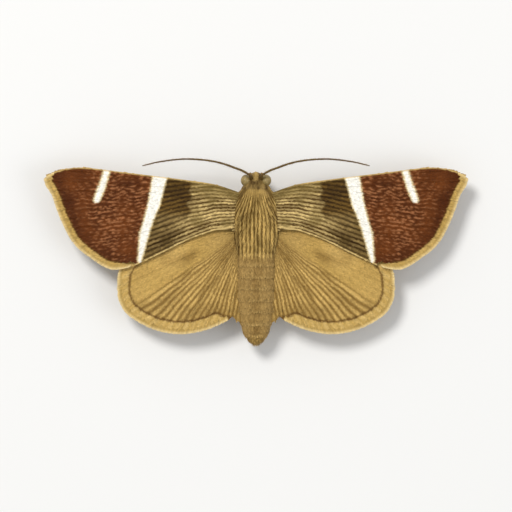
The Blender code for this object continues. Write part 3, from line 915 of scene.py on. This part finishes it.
# ---------------------------------------------------------------- body markings
def body_colour(points, seed=21):
    """Markings of the head, thorax and abdomen."""
    x, y, z = points.T
    above = step(-0.5, 0.5, z - body_level(y))
    # fine light lines that fan out backwards from the smooth neck
    fan = x / (0.12 + 0.17 * step(2.1, -0.8, y))
    light = stripe(fan, y * 0.55, seed)
    neck = step(0.95, 1.55, y - 0.25 * np.abs(x)) * above
    light = light + 0.75 * (0.42 + 0.25 * swell(x * 3, y * 3, seed + 1) - light) * neck
    colour = mix(THORAX_DARK, THORAX_LIGHT, light)
    side_marks = swell(x * 1.4 + 7, y * 1.1, seed + 3)
    colour = mix(colour, BROWN_DARK, 0.35 * step(0.55, 0.9, side_marks) * step(0.9, 1.4, np.abs(x)))
    # dark line behind each eye, between the head and the collar
    behind = distance_to([(0.50, 1.98), (0.72, 1.80), (1.00, 1.50), (1.12, 1.28)], np.abs(x), y)
    colour = mix(colour, THORAX_DARK, 0.8 * (1 - step(0.07, 0.20, behind)) * above)
    # head: dark smudges beside the eyes, pale between the antennae
    tone = 0.55 * swell(x * 4, y * 2.2, seed + 5) + 0.45 * swell(x * 9, y * 4, seed + 6)
    head = mix(HEAD_DARK, HEAD_LIGHT, step(0.2, 0.8, tone))
    beside = np.exp(-((np.abs(x) - 0.36) / 0.14) ** 2) * step(1.9, 2.2, y) * above
    head = mix(head, HEAD_DARK, 0.7 * beside)
    head = mix(head, THORAX_LIGHT, 0.45 * np.exp(-(x / 0.13) ** 2) * above * step(2.3, 2.9, y))
    colour = mix(colour, head, step(1.70, 1.84, y))
    # abdomen: paler rear edge on each ring, darker along the middle of the back
    phase = segment_phase(y)
    tone = 0.5 * swell(np.arctan2(z - body_level(y), x) * 7, y * 1.6, seed + 8) + 0.5 * swell(
        x * 7, y * 5, seed + 9)
    belly = mix(ABDOMEN_DARK, ABDOMEN_LIGHT, 0.25 + 0.5 * tone + 0.35 * step(0.55, 0.95, phase))
    belly = mix(belly, ABDOMEN_DARK, 0.45 * np.exp(-(x / 0.35) ** 2) * above
                * (1 - step(0.5, 0.9, phase)))
    belly = mix(belly, GOLD, 0.5 * step(-8.8, -9.6, y))
    colour = mix(colour, belly, step(-2.9, -3.5, y))
    return mix(colour, UNDER_PALE, 0.55 * (1 - above))


def body_places(points):
    """Place on the body coats' bake map: round the body and along it."""
    x, y, z = points.T
    around = np.arctan2(x, z - body_level(y)) / (2 * np.pi) + 0.5
    return columns(on_map(around, 1), on_map(y - BODY_MAP_REAR, BODY_MAP_LENGTH))


def near_eye(points, margin):
    """Whether each point lies in or near an eye."""
    x, y, z = points.T
    off = columns(np.abs(x), y, z) - EYE_CENTRE
    return np.linalg.norm(off / (EYE_RADII + margin), axis=1) < 1


# ---------------------------------------------------------------- body coats
def body_coat(skin, count, region, lie, length, width, seed, shape, lift, droop):
    """Tufts over one region of the skin. length and width are least and most."""
    draw = np.random.default_rng(seed)
    where, facing = scatter(*skin, count, draw)
    keep = region(*where.T) & ~near_eye(where, 0.03)
    where, facing = where[keep], facing[keep]
    total = len(where)
    along = lie(*where.T, facing) + draw.normal(0, LIE_SPREAD, (total, 3))
    # where the lie points straight out of the skin, hairs stand out along it
    brush = step(0.45, 0.8, np.sum(unit(along) * facing, axis=1))[:, None]
    up = unit(facing * (1 - brush) + from_middle(*where.T) * brush)
    stretch = draw.uniform(0, 1, total)
    colours = body_colour(where) * draw.normal(1, 0.10, total).clip(0.75, 1.25)[:, None]
    # hairs that face forwards are short and bend more
    forwards = step(0.0, 0.4, facing[:, 1])
    stretch = stretch * (1 - 0.9 * forwards)
    sink = 0.03 if lift > 0.12 else 0.006
    return grow(shape, where - facing * sink, along, up,
                length[0] + (length[1] - length[0]) * stretch, draw.uniform(*width, total),
                draw.uniform(0.5 * lift, 1.5 * lift, total), droop + 0.35 * forwards, colours,
                body_places(where))


def backwards(fan, down):
    """Lie of a coat that runs back along the body, spreading sideways and drooping."""
    def lie(x, y, z, facing):
        return columns(fan * x / 1.7, -1.0, np.where(z < body_level(y), -down, 0.0))
    return lie


def thorax_lie(x, y, z, facing):
    """Back along the thorax; on its front, along the skin outwards from the neck and back."""
    rising = np.clip(facing[:, 1], 0, 1)[:, None]
    back = backwards(0.42, 0.35)(x, y, z, facing)
    return back * np.sqrt(1 - rising ** 2) + 1.2 * from_middle(x, y, z) * rising


def tail_lie(x, y, z, facing):
    """Back and together to the tip of the tail."""
    return columns(-0.6 * x, -1.0, -0.6 * (z - body_level(y)))


def head_lie(x, y, z, facing):
    """Back over the crown, and forwards and down over the face."""
    face = step(2.35, 2.75, y) * (1 - step(2.9, 3.2, z))
    forward = columns(0.2 * x, 0.3, -1.0)
    back = columns(0.5 * x, -1.0, -0.2)
    return back + (forward - back) * face[:, None]


def on_head(x, y, z):
    return y > 1.88


def on_thorax(x, y, z):
    return (y < 1.78) & (y > -3.3) & ~on_hip(x, y, z)


def on_hip(x, y, z):
    """Whether each point lies on one of the six hips below the thorax."""
    return (z < 1.42) & (y > -2.6)


def hip_lie(x, y, z, facing):
    """Down the hips to the legs."""
    return columns(0.25 * np.sign(x), -0.25, -1.0)


def on_ruff(x, y, z):
    return (y > 1.30) & (y < 1.98)


def on_shoulder(x, y, z):
    return (np.abs(x) > 0.85) & (y > -0.1) & (y < 1.60) & (z > 2.70)


def on_collar(x, y, z):
    return (y > 1.10) & (y < 1.72) & (z > 2.3)


def on_abdomen(x, y, z):
    return (y < -3.0) & (y > -9.95)


def on_tail(x, y, z):
    return y < -8.7


# Coats of the trunk. Each row: number of roots, region, lie, length, width, seed, shape,
# rise for each mm, and droop
BODY_COATS = {
    "head_hairs": [
        (70000, on_head, head_lie, (0.13, 0.24), (0.035, 0.06), 31, LOCK, 0.22, 0.5),
        (36000, on_head, head_lie, (0.09, 0.16), (0.05, 0.08), 32, SCALE, 0.1, 0.2)],
    "thorax_hairs": [
        (13000, on_thorax, thorax_lie, (0.36, 0.76), (0.045, 0.08), 33, LOCK, 0.14, 0.12),
        (20000, on_shoulder, backwards(0.95, 0.0), (0.65, 1.10), (0.045, 0.08), 34, LOCK, 0.14,
         0.12),
        (26000, on_collar, backwards(0.5, 0.0), (0.30, 0.55), (0.05, 0.09), 35, LOCK, 0.24, 0.25)],
    "collar_hip_hairs": [
        (36000, on_ruff, thorax_lie, (0.20, 0.36), (0.035, 0.06), 39, LOCK, 0.10, 0.25),
        (30000, on_hip, hip_lie, (0.12, 0.22), (0.055, 0.08), 40, SCALE, 0.10, 0.1),
        (12000, on_hip, hip_lie, (0.20, 0.34), (0.03, 0.05), 43, LOCK, 0.16, 0.2)],
    "abdomen_scales": [
        (19000, on_abdomen, backwards(0.05, 0.0), (0.20, 0.32), (0.07, 0.11), 36, SCALE, 0.11,
         0.08)],
    "abdomen_hairs": [
        (14000, on_abdomen, backwards(0.05, 0.1), (0.22, 0.40), (0.03, 0.055), 37, LOCK, 0.10,
         0.12),
        (26000, on_tail, tail_lie, (0.28, 0.48), (0.035, 0.06), 38, LOCK, 0.05, 0.0)],
}


def add_body(skin_finish, coat_finish):
    skin = trunk_skin()
    add_piece("trunk_skin", (*skin, body_colour(skin[0]) * 0.85), skin_finish,
              ["head", "thorax", "abdomen", "palp_left", "palp_right"])
    for name, rows in BODY_COATS.items():
        coat = gather([body_coat(skin, *row) for row in rows])
        add_piece(name, coat, coat_finish)


# ---------------------------------------------------------------- eyes, feelers, tongue
def sphere_points(count):
    """Evenly spread directions over a sphere."""
    k = np.arange(count) + 0.5
    height = 1 - 2 * k / count
    turn = np.pi * (1 + 5 ** 0.5) * k
    round_out = np.sqrt(1 - height ** 2)
    return columns(round_out * np.cos(turn), round_out * np.sin(turn), height)


def add_eyes(finish):
    bm = bmesh.new()
    bmesh.ops.create_icosphere(bm, subdivisions=6, radius=1.0)
    ball = unit(np.array([vertex.co for vertex in bm.verts]))
    faces = np.array([[vertex.index for vertex in face.verts] for face in bm.faces])
    bm.free()
    facets = sphere_points(FACETS)
    nearest = np.concatenate([(block @ facets.T).max(axis=1) for block in np.array_split(ball, 40)])
    off = np.clip(np.arccos(np.clip(nearest, -1, 1)) / math.sqrt(4 / FACETS), 0, 1)[:, None]
    points = ball * (1 - FACET_DEPTH * off ** 2) * EYE_RADII + EYE_CENTRE
    # painted light: the top and the outer side of each eye paler; painted shade darkens the edge of
    # each facet
    lit = 0.5 * ball[:, 2] + 0.3 * ball[:, 0] + 0.5
    tone = 0.6 * step(0.2, 1.0, lit) + 0.4 * swell(ball[:, 0] * 5, ball[:, 1] * 5, 3)
    colours = mix(EYE_DARK, EYE_PALE, tone) * (1.05 - 0.35 * off ** 2)
    add_both_sides([("eye_{}_facets", (points, faces, colours), finish, ["eye_{}"])])


def tube_share(share, sides):
    """Share along a tube for each of its points, for close_rings' order of points."""
    return np.append(np.repeat(share, sides), [0, 1])


def tube_scales(path, radius, count, length, width, seed, colour, place, lift=0.12, shape=SCALE):
    """Scales over a round limb, pointing to its far end. length and width are least and most.

    place is the limb's patch on the bake map: its corner and its two sides.
    """
    draw = np.random.default_rng(seed)
    run = running(path)
    where = draw.uniform(0.0, 0.97, count) * run[-1]
    ahead = heading(path, run, where, 0.02)
    side = unit(np.cross(ahead, [0.0, 0.0, 1.0]))
    over = np.cross(side, ahead)
    turn = draw.uniform(0, 2 * np.pi, count)
    facing = np.cos(turn)[:, None] * side + np.sin(turn)[:, None] * over
    out = np.interp(where, run, radius)[:, None]
    taper = np.interp(where, run, np.gradient(radius, run))[:, None].clip(-1.2, 1.2)
    roots = along_line(path, run, where) + facing * (out - 0.012)
    ahead, facing = ahead + taper * facing, unit(facing - taper * ahead)
    shade = draw.normal(1, 0.12, count).clip(0.7, 1.3)[:, None]
    share = where / run[-1]
    places = columns(place[0] + place[2] * share, place[1] + place[3] * turn / (2 * np.pi))
    length = draw.uniform(*length, count) * (1 - 0.45 * step(0.8, 1.0, share))
    return grow(shape, roots, ahead + draw.normal(0, 0.08, (count, 3)), facing, length,
                draw.uniform(*width, count), draw.uniform(0.5, 1.5, count) * lift, 0,
                colour(share, turn, seed) * shade, places)


def antenna_colour(share, turn, seed):
    """Dark olive with a pale ring on each segment."""
    ring = step(0.55, 0.95, np.mod(share * ANTENNA_SEGMENTS, 1.0))
    return mix(LINE_DARK, OLIVE, 0.35 + 0.65 * ring)


def add_antennae(finish, coat_finish):
    rows = ANTENNA_SEGMENTS * 5 + 1
    path = smooth_curve(ANTENNA_PATH, rows)
    share = np.linspace(0, 1, rows)
    shaft = 0.082 - 0.045 * share ** 0.8
    beads = np.mod(share * ANTENNA_SEGMENTS, 1.0)
    radius = shaft * (0.84 + 0.22 * step(0.0, 0.45, beads) - 0.12 * step(0.8, 1.0, beads))
    radius += 0.040 * (1 - step(0.035, 0.060, share))     # the thick first joint
    draw = np.random.default_rng(41)
    cilia = []
    for k in range(10, rows - 5, 2):
        for turn in draw.uniform(math.pi, 2 * math.pi, 3):
            ahead = path[k + 1] - path[k]
            side = unit(np.cross(ahead, [0, 0, 1.0]))
            out = math.cos(turn) * side + math.sin(turn) * np.array([0, 0, 1.0])
            reach = 0.9 * shaft[k] + 0.05
            line = np.stack([path[k] + out * shaft[k] * 0.7, path[k] + out * (shaft[k] + reach)
                             + ahead * 1.5])
            cilia.append(tube(line, [0.007, 0.003], 3))
    hairs = gather(cilia)
    colours = antenna_colour(tube_share(share, ANTENNA_SIDES), 0, 0) * 0.9
    stalk = gather([(*tube(path, radius, ANTENNA_SIDES), colours),
                    (*hairs, np.tile(linear(GOLD), (len(hairs[0]), 1)))])
    coat = tube_scales(path[3:], radius[3:], 1700, (0.10, 0.15), (0.05, 0.07), 42,
                       antenna_colour, WHOLE_MAP, 0.06)
    add_both_sides([("antenna_{}_shaft", stalk, finish, ["antenna_{}"]),
                    ("antenna_{}_scales", coat, coat_finish, [])])


def palp_colour(share, turn, seed):
    return mix(HEAD_LIGHT, THORAX_LIGHT, 0.7 * swell(share * 6, turn * 2, seed) + 0.3 * share)


def add_palp_scales(coat_finish):
    path = smooth_curve(PALP_PATH, PALP_ROWS)[5:]
    radius = 0.15 * np.sqrt(np.clip(1 - np.linspace(-0.2, 0.97, len(path)) ** 2, 0, 1))
    coat = gather([
        tube_scales(path, radius, 1100, (0.12, 0.20), (0.05, 0.08), 51, palp_colour, WHOLE_MAP),
        tube_scales(path, radius, 500, (0.16, 0.26), (0.03, 0.05), 52, palp_colour, WHOLE_MAP,
                    0.16, LOCK)])
    add_both_sides([("palp_{}_scales", coat, coat_finish, [])])


def add_tongue(finish):
    rows = 260
    share = np.linspace(0, 1, rows)
    turn = math.pi * 0.62 + share * TONGUE_TURNS * 2 * math.pi
    out = 0.31 - 0.22 * share
    coil = columns(0.0, TONGUE_CENTRE[0] + out * np.cos(turn),
                   TONGUE_CENTRE[1] + out * np.sin(turn))
    lead = smooth_curve([(0, 2.38, 1.95), (0, 2.44, 1.70), tuple(coil[0])], 24)[:-1]
    path = np.vstack([lead, coil])
    along = np.linspace(0, 1, len(path))
    radius = (0.075 - 0.045 * along) * (1 + 0.07 * np.cos(along * 2 * np.pi * TONGUE_RINGS))
    colours = mix(LINE_DARK, GOLD, 0.15 + 0.35 * tube_share(along, 12))
    halves = [(*tube(path + [side * 0.048, 0, 0], radius, 12), colours) for side, _ in SIDES]
    add_piece("tongue_coil", gather(halves), finish, ["proboscis"])


# ---------------------------------------------------------------- legs
def leg_colour(share, turn, seed):
    """Mottled brown with a pale ring near the end of each length."""
    tone = 0.6 * swell(share * 9, turn * 1.5, seed) + 0.4 * swell(share * 25, turn * 3, seed + 1)
    colour = mix(THORAX_DARK, THORAX_LIGHT, tone)
    return mix(colour, GOLD_PALE, 0.7 * step(0.84, 0.93, share))


def foot_colour(share, turn, seed):
    """Dark brown with a pale end on each of the five joints."""
    ring = step(0.70, 0.90, np.mod(share * FOOT_JOINTS, 1.0))
    return mix(LINE_DARK, GOLD_PALE, 0.12 + 0.75 * ring)


def limb_profile(start, middle, stop):
    """Radii along a limb that swells in the middle and narrows at its ends."""
    share = np.linspace(0, 1, LIMB_ROWS)
    body = start + (stop - start) * share + (middle - (start + stop) / 2) * np.sin(np.pi * share)
    ends = 0.72 + 0.28 * step(0.0, 0.08, share) * (1 - 0.5 * step(0.94, 1.0, share))
    return body * ends


def add_leg(name, number, finish, coat_finish):
    hip, knee, ankle, heel, toe = (np.array(place) for place in LEGS[name])
    thick = LEG_THICKNESS[name]
    femur = smooth_curve([hip, (hip + knee) / 2 + [0, 0, 0.05], knee], LIMB_ROWS)
    femur_radius = limb_profile(0.12, 0.17, 0.11) * thick
    tibia = smooth_curve([knee, (knee + ankle) / 2 + [0, 0, 0.03], ankle], LIMB_ROWS)
    tibia_radius = limb_profile(0.10, 0.12, 0.115) * thick
    foot = smooth_curve([ankle, heel, 0.5 * (heel + toe) + [0, 0, -0.012], toe], FOOT_ROWS)
    foot_radius = 0.060 + 0.020 * np.mod(np.linspace(0, FOOT_JOINTS, FOOT_ROWS), 1.0)
    foot_radius[-1] = 0.05
    shapes = []
    for path, radius, sides, colour in ((femur, femur_radius, 16, leg_colour),
                                        (tibia, tibia_radius, 16, leg_colour),
                                        (foot, foot_radius, 12, foot_colour)):
        share = tube_share(np.linspace(0, 1, len(path)), sides)
        shapes.append((*tube(path, radius, sides), colour(share, share * 0, 60 + number)))
    # claws, and the spurs of the shin
    ahead = unit(toe - heel)
    aside = np.cross(ahead, [0, 0, 1.0])
    thorns = []
    for turn in (-1, 1):
        thorns.append(([toe - 0.02 * ahead, toe + 0.07 * ahead + 0.05 * turn * aside
                        + [0, 0, 0.02], toe + 0.13 * ahead + 0.07 * turn * aside
                        - [0, 0, 0.07]], 0.020))
    shin = ankle - knee
    shin_side = unit(np.cross(shin, [0, 0, 1.0]))
    for place in SPURS[name]:
        for turn, reach in ((-1, 0.36), (1, 0.26)):
            root = knee + shin * place
            tip = root + unit(shin) * reach + shin_side * turn * 0.15
            thorns.append(([root, (root + tip) / 2 + shin_side * turn * 0.03, tip], 0.035))
    for line, width in thorns:
        points, faces = tube(smooth_curve(line, 8), np.linspace(width, 0.004, 8), 8)
        shapes.append((points, faces, np.tile(linear(LINE_DARK), (len(points), 1))))
    limb = gather(shapes)
    limb[2] = limb[2] * 0.9
    coat = gather([
        tube_scales(femur, femur_radius, 850, (0.15, 0.24), (0.075, 0.105), 70 + number,
                    leg_colour, (0.03, 0.03, 0.28, 0.94)),
        tube_scales(femur, femur_radius, 300, (0.2, 0.36), (0.03, 0.05), 80 + number,
                    leg_colour, (0.03, 0.03, 0.28, 0.94), 0.30, LOCK),
        tube_scales(tibia, tibia_radius, 750, (0.14, 0.22), (0.07, 0.10), 90 + number,
                    leg_colour, (0.35, 0.03, 0.28, 0.94)),
        tube_scales(foot, foot_radius, 520, (0.09, 0.14), (0.05, 0.07), 100 + number,
                    foot_colour, (0.67, 0.03, 0.28, 0.94), 0.05)])
    for shape in (limb, coat):
        shape[0][:, 2] = np.maximum(shape[0][:, 2], 0.0)
    stem = f"leg_{name}_" + "{}"
    nodes = [f"{stem}_{part}" for part in ("femur", "tibia", "tarsus")]
    add_both_sides([(stem + "_limb", limb, finish, nodes),
                    (stem + "_scales", coat, coat_finish, [])])


# ---------------------------------------------------------------- stage
VIEW_CENTRE_Y = -3.31                 # drawing frame, at the middle of the picture
VIEW_WIDTH = 38.55                    # width of the picture at the wings
VIEW_DISTANCE = 400.0
WING_LEVEL = 2.8                      # height at which the width holds
FLOOR_RADIUS = 1.2                    # metres, as all lengths and places of the lamps
# Lamps: name, place, size, watts and colour
LAMPS = [("key", (0.16, -0.22, 0.42), 0.16, 1.55, (1.0, 0.985, 0.96)),
         ("fill", (-0.34, 0.10, 0.30), 0.30, 0.40, (0.96, 0.98, 1.0))]


def add_stage():
    bm = bmesh.new()
    bmesh.ops.create_circle(bm, cap_ends=True, segments=96, radius=FLOOR_RADIUS)
    mesh = bpy.data.meshes.new("floor")
    bm.to_mesh(mesh)
    bm.free()
    paint = bpy.data.materials.new("pale_floor")
    paint.use_nodes = True
    shader = paint.node_tree.nodes["Principled BSDF"]
    shader.inputs["Base Color"].default_value = (0.86, 0.86, 0.85, 1)
    shader.inputs["Roughness"].default_value = 0.9
    shader.inputs["Specular IOR Level"].default_value = 0.1
    mesh.materials.append(paint)
    add_object("floor", mesh)


def add_lamp(name, place, size, watts, colour):
    data = bpy.data.lights.new(name, "AREA")
    data.shape = "DISK"
    data.size = size
    data.energy = watts
    data.color = colour
    lamp = add_object(name, data)
    lamp.location = place
    lamp.rotation_euler = (-Vector(place)).to_track_quat("-Z", "Y").to_euler()


def add_light():
    world = bpy.data.worlds.new("studio")
    world.use_nodes = True
    sky = world.node_tree.nodes["Background"]
    sky.inputs["Color"].default_value = (1.0, 1.0, 1.0, 1)
    sky.inputs["Strength"].default_value = 0.50
    bpy.context.scene.world = world
    for lamp in LAMPS:
        add_lamp(*lamp)


def add_camera():
    bpy.context.scene.view_settings.view_transform = "Standard"
    data = bpy.data.cameras.new("camera")
    data.sensor_width = 36.0
    data.lens = data.sensor_width * (VIEW_DISTANCE - WING_LEVEL) / VIEW_WIDTH
    data.clip_start = 0.01
    data.clip_end = 10.0
    camera = add_object("camera", data)
    camera.location = Vector(to_frame([(0, VIEW_CENTRE_Y, VIEW_DISTANCE)])[0])
    camera.rotation_euler = (0, 0, math.pi)
    bpy.context.scene.camera = camera


def main():
    wing_skin = marked_material("wing_membrane", 0.6, 0.12, 0.01, specular=0.12)
    wing_scales = marked_material("wing_scales", 0.62, 0.16, 0.006, specular=0.12)
    body_skin = marked_material("body_skin", 0.65, 0.10, 0.02, specular=0.12)
    hairs = marked_material("body_hairs", 0.6, 0.10, 0.006, sheen=0.05, specular=0.15)
    horn = marked_material("limb_horn", 0.42, 0.05, 0.006)
    eye_gloss = marked_material("eye_gloss", 0.25, 0.03, 0.002, specular=0.4)
    tongue_gloss = marked_material("tongue_gloss", 0.30, 0.04, 0.004, specular=0.5)
    add_wing(HINDWING, 210, wing_skin, wing_scales)
    add_wing(FOREWING, 110, wing_skin, wing_scales)
    add_body(body_skin, hairs)
    add_palp_scales(hairs)
    add_eyes(eye_gloss)
    add_antennae(horn, hairs)
    add_tongue(tongue_gloss)
    for number, name in enumerate(LEGS):
        add_leg(name, number, horn, hairs)
    add_stage()
    add_light()
    add_camera()


main()
bpy.context.view_layer.update()
